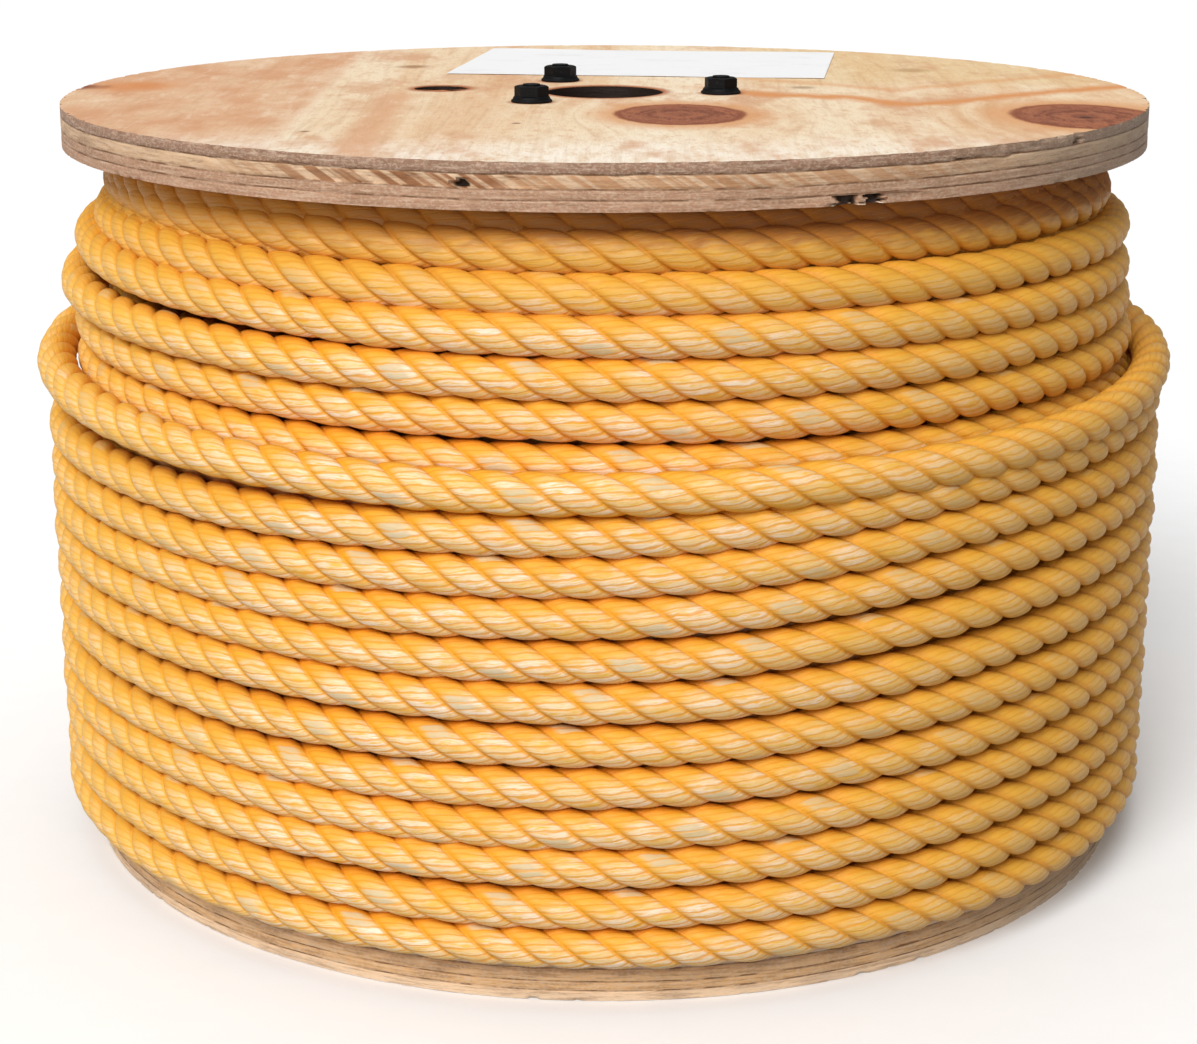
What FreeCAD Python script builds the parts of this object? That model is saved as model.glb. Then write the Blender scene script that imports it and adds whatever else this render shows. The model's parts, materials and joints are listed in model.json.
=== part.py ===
import FreeCAD, Part
import math
import os

# A wound reel of three-strand rope: two plywood flanges on a fibreboard core,
# held together by three tie bolts, and wound with one long rope in nested layers.
# Millimetres. +Z runs up the reel's axis, and the origin is at the centre of the base.

# Driving dimensions of the reel
flange_diameter = 406.4          # 16 in
flange_thickness = 15.1          # nominal 5/8 in, four plies
traverse = 248.0                 # clear width between the flanges
arbor_diameter = 44.45           # 1-3/4 in
core_inside_diameter = 96.0
core_wall = 5.0
core_seat_depth = 5.0            # groove in each flange that holds the core
core_seat_clearance = 0.15
start_hole_diameter = 20.6
start_hole_radius = 64.0         # from the reel's axis
start_hole_angle = 169.0         # degrees from +X

# Tie bolts, 1/4 in carriage bolts with flange nuts on the top face
bolt_count = 3
bolt_circle_diameter = 88.9      # 3-1/2 in
bolt_first_angle = -7.0
bolt_diameter = 6.35
bolt_hole_diameter = 6.9
bolt_head_diameter = 15.0
bolt_head_height = 3.6
bolt_head_recess = 0.4           # how far the head stays clear of the floor
bolt_neck_depth = 4.6
bolt_neck_clearance = 0.08
bolt_tip_above_nut = 0.6
head_pocket_diameter = 18.4
nut_across_flats = 11.11         # 7/16 in
nut_height = 6.0
nut_flange_diameter = 15.1
nut_flange_edge = 0.9
nut_flange_height = 2.3
nut_bore_diameter = 6.5
nut_crown_chamfer = 1.0          # how far the crown's circle lies inside the corners

# Rope and its winding
rope_diameter = 14.0
row_pitch = 14.0                 # axial distance between neighbouring turns
layer_step = 12.22               # radial distance between nested layers
row_radius = 7.03                # wound rows meet in a narrow neck
first_layer_radius = 60.1        # centre of the rope in the innermost layer
layer_count = 13
rows_per_layer = 17
rows_in_last_layer = 11
winding_clearance = 0.1          # below the first row

# The last turn lies loose and tilted over the rows below it
last_turn_radius = 209.3
last_turn_height = 185.4
last_turn_tilt = 2.52            # degrees, higher at the back
last_turn_start = 120.0          # azimuth where it reaches its level
last_turn_end = 436.0            # azimuth of the rope's end, after one round
climb_start = 70.0               # azimuth where it leaves the row below
climb_height = 176.5             # height of its centre there
bend_bulge = 0.4                 # the rope swells where it bends into the turn
end_tape_angle = 73.0
climb_rise_at_tape = 0.9         # how far the climb has risen under the tape
end_tape_width = 12.0
end_tape_thickness = 0.4
end_tape_slack = 0.2

# Printed label on the top face, left blank
label_width = 153.5
label_height = 114.6
label_thickness = 0.25
label_centre = (19.2, 115.0)
label_turn = -7.3

# Heavy wire staple that pins the rope's inner end to the core
staple_wire = 1.6
staple_height = 26.0
staple_angle = 170.0
staple_leg_stop = 0.6            # the legs end this far inside the core's wall

core_inside_radius = core_inside_diameter / 2
core_outside_radius = core_inside_radius + core_wall
bolt_circle_radius = bolt_circle_diameter / 2
top_flange_base = flange_thickness + traverse
reel_height = top_flange_base + flange_thickness
first_row_height = flange_thickness + winding_clearance + row_radius

vector = FreeCAD.Vector
up = vector(0, 0, 1)
origin = vector(0, 0, 0)


def save(node, shape):
    if not shape.isValid():
        raise ValueError(node + " is not a valid solid")
    shape.exportStep("parts/" + node + ".step")
    print(node, round(shape.Volume), len(shape.Solids))


def polar(radius, angle, height):
    turn = math.radians(angle)
    return vector(radius * math.cos(turn), radius * math.sin(turn), height)


def cylinder(diameter, base, top, centre=origin):
    return Part.makeCylinder(diameter / 2, top - base, vector(centre.x, centre.y, base), up)


def bolt_angles():
    return [bolt_first_angle + 360.0 / bolt_count * k for k in range(bolt_count)]


def core_seat(base, top):
    outside = 2 * (core_outside_radius + core_seat_clearance)
    inside = 2 * (core_inside_radius - core_seat_clearance)
    return cylinder(outside, base, top).cut(cylinder(inside, base, top))


def bored_board(base):
    """A round board with the arbor hole and the three bolt holes."""
    top = base + flange_thickness
    board = cylinder(flange_diameter, base, top)
    board = board.cut(cylinder(arbor_diameter, base, top))
    for angle in bolt_angles():
        centre = polar(bolt_circle_radius, angle, 0)
        board = board.cut(cylinder(bolt_hole_diameter, base, top, centre))
    return board


def square_bar(width, base, top, angle):
    """A square bar along Z on the bolt circle, turned to face the axis."""
    bar = Part.makeBox(width, width, top - base, vector(-width / 2, -width / 2, base))
    bar.rotate(origin, up, angle)
    bar.translate(polar(bolt_circle_radius, angle, 0))
    return bar


def top_flange():
    board = bored_board(top_flange_base)
    board = board.cut(core_seat(top_flange_base, top_flange_base + core_seat_depth))
    start_hole = polar(start_hole_radius, start_hole_angle, 0)
    return board.cut(cylinder(start_hole_diameter, top_flange_base, reel_height, start_hole))


def bottom_flange():
    board = bored_board(0)
    board = board.cut(core_seat(flange_thickness - core_seat_depth, flange_thickness))
    pocket_top = bolt_head_recess + bolt_head_height
    neck_top = pocket_top + bolt_neck_depth + bolt_neck_clearance
    neck_width = bolt_diameter + 2 * bolt_neck_clearance
    for angle in bolt_angles():
        centre = polar(bolt_circle_radius, angle, 0)
        board = board.cut(cylinder(head_pocket_diameter, 0, pocket_top, centre))
        board = board.cut(square_bar(neck_width, pocket_top, neck_top, angle))
    return board


def core_tube():
    base = flange_thickness - core_seat_depth + core_seat_clearance
    top = top_flange_base + core_seat_depth - core_seat_clearance
    return cylinder(2 * core_outside_radius, base, top).cut(cylinder(2 * core_inside_radius, base, top))


def carriage_bolt(angle):
    """Domed head, square neck and plain shank, from the base up through the nut."""
    centre = polar(bolt_circle_radius, angle, 0)
    head_top = bolt_head_recess + bolt_head_height
    head_radius = bolt_head_diameter / 2
    dome_radius = (head_radius**2 + bolt_head_height**2) / (2 * bolt_head_height)
    dome_centre = vector(centre.x, centre.y, bolt_head_recess + dome_radius)
    head = Part.makeSphere(dome_radius, dome_centre)
    head = head.common(cylinder(bolt_head_diameter, bolt_head_recess, head_top, centre))
    neck = square_bar(bolt_diameter, head_top, head_top + bolt_neck_depth, angle)
    tip = reel_height + nut_height + bolt_tip_above_nut
    shank = cylinder(bolt_diameter, head_top, tip, centre)
    return head.fuse(neck).fuse(shank).removeSplitter()


def flange_nut(angle):
    """Hexagon nut with a sloping flange, seated on the top board."""
    centre = polar(bolt_circle_radius, angle, reel_height)
    corner = nut_across_flats / math.sqrt(3)
    points = [centre + polar(corner, angle + 60 * k, 0) for k in range(7)]
    hexagon = Part.Face(Part.makePolygon(points)).extrude(vector(0, 0, nut_height))
    crown_height = nut_height + nut_crown_chamfer
    crown = Part.makeCone(corner + nut_height, corner - nut_crown_chamfer, crown_height, centre, up)
    hexagon = hexagon.common(crown)
    rim = Part.makeCylinder(nut_flange_diameter / 2, nut_flange_edge, centre, up)
    slope_base = centre + vector(0, 0, nut_flange_edge)
    slope_rise = nut_flange_height - nut_flange_edge
    slope = Part.makeCone(nut_flange_diameter / 2, nut_across_flats / 2, slope_rise, slope_base, up)
    bore = Part.makeCylinder(nut_bore_diameter / 2, nut_height, centre, up)
    return hexagon.fuse(rim).fuse(slope).cut(bore).removeSplitter()


def label():
    sheet = Part.makeBox(
        label_width, label_height, label_thickness, vector(-label_width / 2, -label_height / 2, 0)
    )
    sheet.rotate(origin, up, label_turn)
    sheet.translate(vector(label_centre[0], label_centre[1], reel_height))
    return sheet


def row_heights(layer):
    """Heights of the rows in a layer; every second layer sits half a row higher."""
    shift = 0 if layer % 2 else row_pitch / 2
    rows = rows_in_last_layer if layer == layer_count else rows_per_layer
    return [first_row_height + shift + row_pitch * k for k in range(rows)]


def rope_layer(layer):
    """One layer of the winding: round rows side by side, joined by narrow necks."""
    centre = first_layer_radius + layer_step * (layer - 1)
    heights = row_heights(layer)
    half = row_pitch / 2
    neck = math.sqrt(row_radius**2 - half**2)
    edges = []
    for side in (1, -1):
        for height in heights:
            low = vector(centre + side * neck, 0, height - half)
            high = vector(centre + side * neck, 0, height + half)
            if height == heights[0]:
                low = vector(centre, 0, height - row_radius)
            if height == heights[-1]:
                high = vector(centre, 0, height + row_radius)
            crest = vector(centre + side * row_radius, 0, height)
            edges.append(Part.Arc(low, crest, high).toShape())
    profile = Part.Face(Part.Wire(Part.sortEdges(edges)[0]))
    return profile.revolve(origin, up, 360)


def ring_stretch(start, end, height):
    """A stretch of rope bent to the last turn's radius, level, between two azimuths."""
    disc = Part.Face(Part.Wire(Part.makeCircle(
        rope_diameter / 2, vector(last_turn_radius, 0, 0), vector(0, 1, 0)
    )))
    disc.rotate(origin, up, start)
    stretch = disc.revolve(origin, up, end - start)
    stretch.translate(vector(0, 0, height))
    return stretch


def last_turn():
    """The rope's last turn, tilted about X, with the climb up to it from the row below."""
    turn = ring_stretch(last_turn_start, last_turn_end, 0)
    turn.rotate(origin, vector(1, 0, 0), last_turn_tilt)
    turn.translate(vector(0, 0, last_turn_height))
    joint = polar(last_turn_radius, last_turn_start, 0)
    rise = joint.y * math.sin(math.radians(last_turn_tilt))
    joint = vector(joint.x, joint.y, last_turn_height + rise)
    foot = polar(last_turn_radius, climb_start, climb_height)
    slope = math.atan2(joint.z - foot.z, foot.x - joint.x)
    climb = ring_stretch(climb_start, last_turn_start, 0)
    climb.rotate(origin, vector(0, 1, 0), math.degrees(slope))
    climb.translate(vector(0, 0, climb_height + foot.x * math.tan(slope)))
    knuckle = Part.makeSphere(rope_diameter / 2 + bend_bulge, joint)
    return turn.fuse(knuckle).fuse(climb)


def end_tape():
    """A band of tape that binds the rope's end to the stretch that climbs below it."""
    turn = math.radians(end_tape_angle)
    upper = last_turn_height + last_turn_radius * math.sin(turn) * math.sin(math.radians(last_turn_tilt))
    lower = climb_height + climb_rise_at_tape
    inner = rope_diameter / 2 + end_tape_slack
    band = None
    for grow, sign in ((end_tape_thickness, 1), (0, -1)):
        radius = inner + grow
        low = vector(last_turn_radius, -end_tape_width / 2, lower)
        high = vector(last_turn_radius, -end_tape_width / 2, upper)
        across = vector(0, end_tape_width, 0)
        loop = Part.makeCylinder(radius, end_tape_width, low, vector(0, 1, 0))
        loop = loop.fuse(Part.makeCylinder(radius, end_tape_width, high, vector(0, 1, 0)))
        corner = [
            low + vector(-radius, 0, 0),
            low + vector(radius, 0, 0),
            high + vector(radius, 0, 0),
            high + vector(-radius, 0, 0),
            low + vector(-radius, 0, 0),
        ]
        loop = loop.fuse(Part.Face(Part.makePolygon(corner)).extrude(across)).removeSplitter()
        band = loop if sign == 1 else band.cut(loop)
    band.rotate(origin, up, end_tape_angle)
    return band


def start_staple():
    """A wire staple over the first turn, with both legs through the core's wall."""
    reach = first_layer_radius + rope_diameter / 2 + staple_wire / 2
    inner_end = core_inside_radius + staple_leg_stop
    low = reel_height / 2 - staple_height / 2
    legs = [vector(inner_end, 0, low), vector(inner_end, 0, low + staple_height)]
    staple = Part.makeCylinder(staple_wire / 2, staple_height, vector(reach, 0, low), up)
    for leg in legs:
        staple = staple.fuse(Part.makeCylinder(staple_wire / 2, reach - inner_end, leg, vector(1, 0, 0)))
        staple = staple.fuse(Part.makeSphere(staple_wire / 2, vector(reach, 0, leg.z)))
    staple.rotate(origin, up, staple_angle)
    return staple


def main():
    os.makedirs("parts", exist_ok=True)
    staple = start_staple()
    save("top_flange", top_flange())
    save("bottom_flange", bottom_flange())
    save("core_tube", core_tube().cut(staple))
    for letter, angle in zip("abc", bolt_angles()):
        save("tie_bolt_" + letter, carriage_bolt(angle))
        save("flange_nut_" + letter, flange_nut(angle))
    save("label", label())
    save("start_staple", staple)
    for layer in range(1, layer_count + 1):
        shape = rope_layer(layer)
        if layer <= 2:
            shape = shape.cut(staple)
        save("rope_layer_%02d" % layer, shape)
    turn = last_turn()
    save("rope_last_turn", turn)
    save("end_tape", end_tape().cut(turn))


main()
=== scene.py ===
import json
import math

import bmesh
import bpy
import numpy as np
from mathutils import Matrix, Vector, noise
from mathutils.geometry import delaunay_2d_cdt

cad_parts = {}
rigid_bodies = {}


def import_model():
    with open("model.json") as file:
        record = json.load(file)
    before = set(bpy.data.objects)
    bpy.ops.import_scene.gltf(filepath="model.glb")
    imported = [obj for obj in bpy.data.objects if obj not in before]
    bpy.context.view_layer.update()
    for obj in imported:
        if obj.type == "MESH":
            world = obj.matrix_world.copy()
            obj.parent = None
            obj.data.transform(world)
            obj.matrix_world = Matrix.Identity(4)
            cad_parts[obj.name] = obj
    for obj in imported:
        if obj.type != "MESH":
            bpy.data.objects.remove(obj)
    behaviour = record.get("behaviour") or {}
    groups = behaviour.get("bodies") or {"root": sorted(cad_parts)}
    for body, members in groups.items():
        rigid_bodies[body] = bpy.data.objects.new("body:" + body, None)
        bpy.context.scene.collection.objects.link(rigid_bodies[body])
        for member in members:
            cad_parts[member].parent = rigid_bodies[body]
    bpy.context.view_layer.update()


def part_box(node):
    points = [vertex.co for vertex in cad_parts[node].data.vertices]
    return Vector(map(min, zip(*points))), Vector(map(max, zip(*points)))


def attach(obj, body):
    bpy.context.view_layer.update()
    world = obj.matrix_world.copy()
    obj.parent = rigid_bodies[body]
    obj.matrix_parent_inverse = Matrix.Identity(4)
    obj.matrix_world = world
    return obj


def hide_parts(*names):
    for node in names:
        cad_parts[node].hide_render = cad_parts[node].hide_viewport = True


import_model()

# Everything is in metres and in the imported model's frame: +Z up the reel's axis.
MM = 0.001
TURN = 2 * math.pi

# The rope: three right-hand laid strands, each of yarns that run nearly along the rope
ROPE_RADIUS = 7.15 * MM  # to the strands' crests
VALLEY_DEPTH = 1.8 * MM  # between two strands
LAY_LENGTH = 45 * MM
YARNS_AROUND = 18
YARN_RELIEF = 0.12 * MM
YARN_DRIFT = 25 * MM  # length in which a yarn moves one place against the lay
YARN_SHIFT = 0.37  # of a yarn, from one strand to the next
FINE_COLUMNS = 60  # points round the rope; three strands share them
COARSE_COLUMNS = 18
FINE_STEP = 1.4 * MM
COARSE_STEP = 4.0 * MM
LIT_SIDE_TILT = math.radians(23)  # the side painted pale, as painted light, faces out and this far down
LAST_TURN_TILT = math.radians(-12)  # the loose turn stands out, so its painted light is on top
JOIN = 100.0  # azimuth where each layer passes into the next, at the back

# Where the camera stands, measured from the centre of the reel's top
CAMERA_BACK = 944.5 * MM
CAMERA_LEFT = 2.2 * MM
CAMERA_ABOVE_TOP = 98.9 * MM
CAMERA_DOWN = math.radians(15.92)
SENSOR_WIDTH = 36  # in millimetres, as is the lens
CAMERA_LENS = 73.83

board_low, board_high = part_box("top_flange")
base_low, base_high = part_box("bottom_flange")
REEL_TOP = board_high[2]
BOARD_RADIUS = board_high[0]
BOARD_THICKNESS = board_high[2] - board_low[2]
CAD_ROPE_RADIUS = 7.03 * MM  # from a layer's centre line to its box
OUTER_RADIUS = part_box("rope_layer_13")[1][0] - CAD_ROPE_RADIUS
SECOND_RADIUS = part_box("rope_layer_12")[1][0] - CAD_ROPE_RADIUS
THIRD_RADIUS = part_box("rope_layer_11")[1][0] - CAD_ROPE_RADIUS
LAST_TURN_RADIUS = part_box("rope_last_turn")[1][0] - 7 * MM

# The rope's colours, and the heights under the upper board where painted shade and then the board's
# painted shadow lie on the rope
GOLDEN = (0.86, 0.47, 0.040)
# The deep orange painted as shade on the rope's side turned from the light
SHADE_ORANGE = (0.84, 0.40, 0.018)
TRACER_GREY = (0.66, 0.53, 0.32)
UNDER_BOARD_SHADE_HEIGHTS = (board_low[2] - 45.1 * MM, board_low[2] - 17.1 * MM)
BOARD_SHADOW_HEIGHTS = (board_low[2] - 15.6 * MM, board_low[2] - 6.6 * MM)


def put(name, data):
    made = bpy.data.objects.new(name, data)
    bpy.context.collection.objects.link(made)
    return made


# ---- camera

def make_camera():
    data = bpy.data.cameras.new("camera")
    data.sensor_width = SENSOR_WIDTH
    data.lens = CAMERA_LENS
    data.clip_start = 0.05
    data.clip_end = 50
    camera = put("camera", data)
    camera.location = (-CAMERA_LEFT, -CAMERA_BACK, REEL_TOP + CAMERA_ABOVE_TOP)
    camera.rotation_euler = (math.pi / 2 - CAMERA_DOWN, 0, 0)
    bpy.context.scene.camera = camera


# ---- shader helpers

class Shader:
    """A small builder for node materials: each method adds a node and returns its output."""

    def __init__(self, name):
        self.material = bpy.data.materials.new(name)
        self.material.use_nodes = True
        self.tree = self.material.node_tree
        self.bsdf = self.tree.nodes["Principled BSDF"]
        self.colour = None  # built up layer by layer

    def node(self, kind, inputs=None, output=0, **settings):
        made = self.tree.nodes.new("ShaderNode" + kind)
        for key, value in settings.items():
            setattr(made, key, value)
        for key, value in (inputs or {}).items():
            self.plug(made.inputs[key], value)
        return made.outputs[output]

    def plug(self, socket, value):
        if isinstance(value, bpy.types.NodeSocket):
            self.tree.links.new(value, socket)
        elif isinstance(value, tuple) and len(value) == 3 and len(socket.default_value) == 4:
            socket.default_value = (*value, 1)
        else:
            socket.default_value = value

    def math(self, operation, a, b=None, clamp=False):
        inputs = {0: a} if b is None else {0: a, 1: b}
        return self.node("Math", inputs, operation=operation, use_clamp=clamp)

    def plus(self, a, b):
        return self.math("ADD", a, b)

    def minus(self, a, b):
        return self.math("SUBTRACT", a, b)

    def times(self, a, b, clamp=False):
        return self.math("MULTIPLY", a, b, clamp)

    def absolute(self, a):
        return self.math("ABSOLUTE", a)

    def centred(self, noise_value, amount):
        """A noise value made to swing evenly about zero."""
        return self.times(self.minus(noise_value, 0.5), amount)

    def length(self, dx, dy):
        return self.math("SQRT", self.plus(self.times(dx, dx), self.times(dy, dy)))

    def remap(self, value, low, high, to_low=0.0, to_high=1.0):
        inputs = {0: value, 1: low, 2: high, 3: to_low, 4: to_high}
        return self.node("MapRange", inputs, interpolation_type="SMOOTHSTEP")

    def falling(self, value, low, high):
        """1 below the low value, fading to 0 at the high one."""
        return self.remap(value, low, high, 1.0, 0.0)

    def mix(self, factor, a, b):
        return self.node("Mix", {0: factor, 6: a, 7: b}, 2, data_type="RGBA")

    def lay(self, factor, tint):
        """Lays a tint over the colour so far."""
        self.colour = self.mix(factor, self.colour, tint)

    def tint(self, tint, value, low, high, amount):
        """Lays up to some amount of a tint over the colour as a value goes from low to high."""
        self.lay(self.remap(value, low, high, 0.0, amount), tint)

    def within(self, value, a, b, c, d):
        """Rises to 1 between a and b, and falls again between c and d."""
        return self.times(self.remap(value, a, b), self.falling(value, c, d))

    def ramp(self, factor, stops):
        made = self.tree.nodes.new("ShaderNodeValToRGB")
        elements = made.color_ramp.elements
        while len(elements) < len(stops):
            elements.new(0.5)
        for element, (place, colour) in zip(elements, stops):
            element.position = place
            element.color = (*colour, 1)
        self.plug(made.inputs[0], factor)
        return made.outputs[0]

    def noise(self, vector, scale, detail=3.0, roughness=0.5):
        inputs = {"Vector": vector, "Scale": scale, "Detail": detail, "Roughness": roughness}
        return self.node("TexNoise", inputs)

    def attribute(self, name, output):
        return self.node("Attribute", output=output, attribute_name=name)

    def flecks(self, point, scales, detail=3.0, roughness=0.5):
        """Noise with its own scale along each axis."""
        return self.noise(self.scaled(point, scales), 1.0, detail, roughness)

    def strands(self, x, y, z, detail=2.0, roughness=0.5):
        """Noise over three coordinates of its own."""
        return self.noise(self.join(x, y, z), 1.0, detail, roughness)

    def object_point(self):
        return self.node("TexCoord", output=3)

    def scaled(self, vector, scale):
        return self.node("VectorMath", {0: vector, 1: scale}, operation="MULTIPLY")

    def split(self, vector):
        made = self.tree.nodes.new("ShaderNodeSeparateXYZ")
        self.plug(made.inputs[0], vector)
        return made.outputs

    def join(self, x, y, z):
        return self.node("CombineXYZ", {0: x, 1: y, 2: z})

    def bump(self, height, distance, strength=1.0):
        made = self.tree.nodes.new("ShaderNodeBump")
        made.inputs["Strength"].default_value = strength
        made.inputs["Distance"].default_value = distance
        self.plug(made.inputs["Height"], height)
        return made.outputs[0]

    def finish(self, **inputs):
        for key, value in inputs.items():
            self.plug(self.bsdf.inputs[key.replace("_", " ")], value)
        return self.material


# ---- rope material

def rope_material():
    """Yarns read from the "strand" attribute: x counts strands round the rope,
    y is the length along it in metres and z counts yarns."""
    s = Shader("rope_yarn")
    lobe, along, yarn = s.split(s.attribute("strand", 1))
    # worn is the painted-light factor: high where the rope faces out and down, painted pale as if lit;
    # low where it turns away, painted orange as shade
    worn = s.attribute("worn", 2)
    strand = s.math("FLOOR", lobe)
    across = s.math("FRACT", lobe)
    from_crest = s.times(s.absolute(s.minus(across, 0.5)), 2.0)
    # The valleys' painted shade reaches further onto one side of each strand
    leaning = s.absolute(s.minus(across, 0.42))
    valley = s.math("MAXIMUM", s.remap(leaning, 0.33, 0.56), s.remap(from_crest, 0.80, 0.96))

    fray = s.noise(s.join(s.times(yarn, 0.5), s.times(along, 60.0), strand), 2.0, 2.0)
    yarn = s.plus(yarn, s.centred(fray, 0.9))
    groove = s.remap(s.absolute(s.minus(s.math("FRACT", yarn), 0.5)), 0.28, 0.48)

    # Fine filaments along each yarn, and longer worn and fresh patches
    filaments = s.strands(s.times(yarn, 5.0), s.times(along, 130.0), strand, 4.0, 0.7)
    threads = s.strands(s.times(yarn, 13.0), s.times(along, 55.0), strand, 4.0, 0.75)
    patches = s.strands(s.times(yarn, 0.8), s.times(along, 95.0), strand, 2.0)
    stretches = s.strands(s.times(strand, 5.7), s.times(along, 34.0), 2.0, 2.0)

    lay_bleached_yarns(s, yarn, strand, filaments, threads, patches)
    # Painted light and shade, broken by random patches: pale where the rope faces the light, deep
    # orange where it turns away and on one side of each strand
    lit_side_and_patches = s.plus(worn, s.centred(patches, 0.5))
    lit_side_and_patches = s.plus(lit_side_and_patches, s.times(s.minus(0.5, across), 0.5))
    lit_side_and_patches = s.plus(lit_side_and_patches, s.centred(stretches, 0.9))
    s.lay(s.remap(lit_side_and_patches, 0.30, 0.86, 0.92, 0.0), SHADE_ORANGE)
    # Painted shade: deeper orange in the grooves between yarns and in the valleys between strands
    s.lay(s.times(groove, 0.80), (0.82, 0.31, 0.010))
    s.lay(s.times(valley, 0.85), (0.85, 0.35, 0.010))
    # Painted shade: the deepest orange where the rope turns into the crevices between turns
    s.tint((0.74, 0.24, 0.012), worn, 0.34, -0.25, 0.85)
    tracer = tracer_mask(s, yarn, strand, from_crest, groove)
    s.lay(s.times(tracer, 0.75), TRACER_GREY)
    board_shadow = lay_painted_shade(s, patches, threads, groove, valley)

    relief = s.minus(s.times(filaments, 0.5), s.times(groove, 0.3))
    relief = s.plus(relief, s.times(threads, 0.55))
    roughness = s.math("MAXIMUM", s.remap(filaments, 0.3, 0.7, 0.55, 0.40), board_shadow)
    s.bsdf.inputs["Specular IOR Level"].default_value = 0.4
    normal = s.bump(relief, 0.34 * MM, 0.8)
    return s.finish(Base_Color=s.colour, Roughness=roughness, Normal=normal)


def lay_bleached_yarns(s, yarn, strand, filaments, threads, patches):
    """Sun-bleached yarns, each with its own shade, and the golden fibres between."""
    yarn_name = s.join(s.math("FLOOR", yarn), s.times(strand, 7.31), 0.5)
    chance = s.node("TexWhiteNoise", {"Vector": yarn_name}, noise_dimensions="3D")
    pale = s.ramp(chance, [(0.0, (0.90, 0.60, 0.25)), (0.35, (0.92, 0.66, 0.36)),
                           (0.7, (0.94, 0.72, 0.48)), (1.0, (0.96, 0.80, 0.63))])
    s.colour = s.mix(s.remap(filaments, 0.34, 0.54), GOLDEN, pale)
    s.tint(GOLDEN, patches, 0.52, 0.74, 0.8)
    s.tint((0.86, 0.46, 0.085), threads, 0.47, 0.66, 0.60)


def tracer_mask(s, yarn, strand, from_crest, groove):
    """1 on the grey-green tracer yarn, which shows now and then in one strand."""
    counted = s.math("WRAP", s.math("FLOOR", yarn), 9.0)
    counted.node.inputs[2].default_value = 0.0
    tracer = s.times(s.math("LESS_THAN", strand, 0.5), s.math("LESS_THAN", counted, 1.5))
    tracer = s.times(tracer, s.falling(from_crest, 0.35, 0.75))
    return s.times(tracer, s.remap(groove, 0.3, 0.9, 1.0, 0.3))


def lay_painted_shade(s, patches, threads, groove, valley):
    """Painted shade: the rope's sides and the rows below the upper board are painted deeper golden,
    and the highest rows there dark brown as the board's painted shadow. Returns where that painted
    shadow is."""
    x, _, z = s.split(s.object_point())
    # Painted shade: deeper golden towards the right and left sides, and on the rows under the upper
    # board
    s.tint((0.73, 0.38, 0.045), x, 0.0, 0.18, 0.80)
    s.tint((0.82, 0.44, 0.060), x, -0.08, -0.19, 0.60)
    s.lay(s.remap(z, *UNDER_BOARD_SHADE_HEIGHTS, 0.0, 0.75), (0.80, 0.40, 0.040))
    # The upper board's painted shadow: dark brown on the highest rows, stronger to the right
    height = s.plus(z, s.times(s.absolute(x), 0.030))
    height = s.plus(height, s.centred(patches, 0.010))
    board_shadow = s.times(s.remap(height, *BOARD_SHADOW_HEIGHTS), s.remap(x, -0.16, 0.05, 0.40, 0.78))
    s.lay(board_shadow, (0.27, 0.066, 0.022))

    # Painted shade in the grooves and valleys, and worn fibres, keep the yarns readable in those
    # places too
    shaded_zone = s.math("MAXIMUM", s.remap(x, 0.02, 0.18), s.remap(z, *UNDER_BOARD_SHADE_HEIGHTS))
    crease_shade = s.math("MAXIMUM", s.times(groove, 0.5), valley)
    crease_shade = s.times(s.times(crease_shade, shaded_zone), 0.5)
    s.lay(crease_shade, (0.60, 0.21, 0.010))
    fibres = s.times(s.remap(threads, 0.54, 0.70, 0.0, 0.35), shaded_zone)
    s.lay(fibres, (0.90, 0.60, 0.20))
    return board_shadow


# ---- rope geometry

def smooth_noise(values, seed):
    """Smooth noise between about -1 and 1 for a list of places along a line."""
    return np.array([noise.noise(Vector((v, seed * 7.13, 0.37))) for v in values]) * 1.8


def through(knots, places):
    """A smooth curve through (place, value) knots, without overshoot between level ones."""
    x = np.array([k[0] for k in knots], float)
    y = np.array([k[1] for k in knots], float)
    step = np.diff(x)
    slope = np.diff(y) / step
    tangent = np.zeros(len(x))
    tangent[0], tangent[-1] = slope[0], slope[-1]
    for i in range(1, len(x) - 1):
        if slope[i - 1] * slope[i] > 0:
            tangent[i] = 2 * slope[i - 1] * slope[i] / (slope[i - 1] + slope[i])
    i = np.clip(np.searchsorted(x, places) - 1, 0, len(x) - 2)
    t = np.clip((places - x[i]) / step[i], 0, 1)
    h00, h10 = 2 * t**3 - 3 * t**2 + 1, t**3 - 2 * t**2 + t
    h01, h11 = -2 * t**3 + 3 * t**2, t**3 - t**2
    return h00 * y[i] + h10 * step[i] * tangent[i] + h01 * y[i + 1] + h11 * step[i] * tangent[i + 1]


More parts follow.
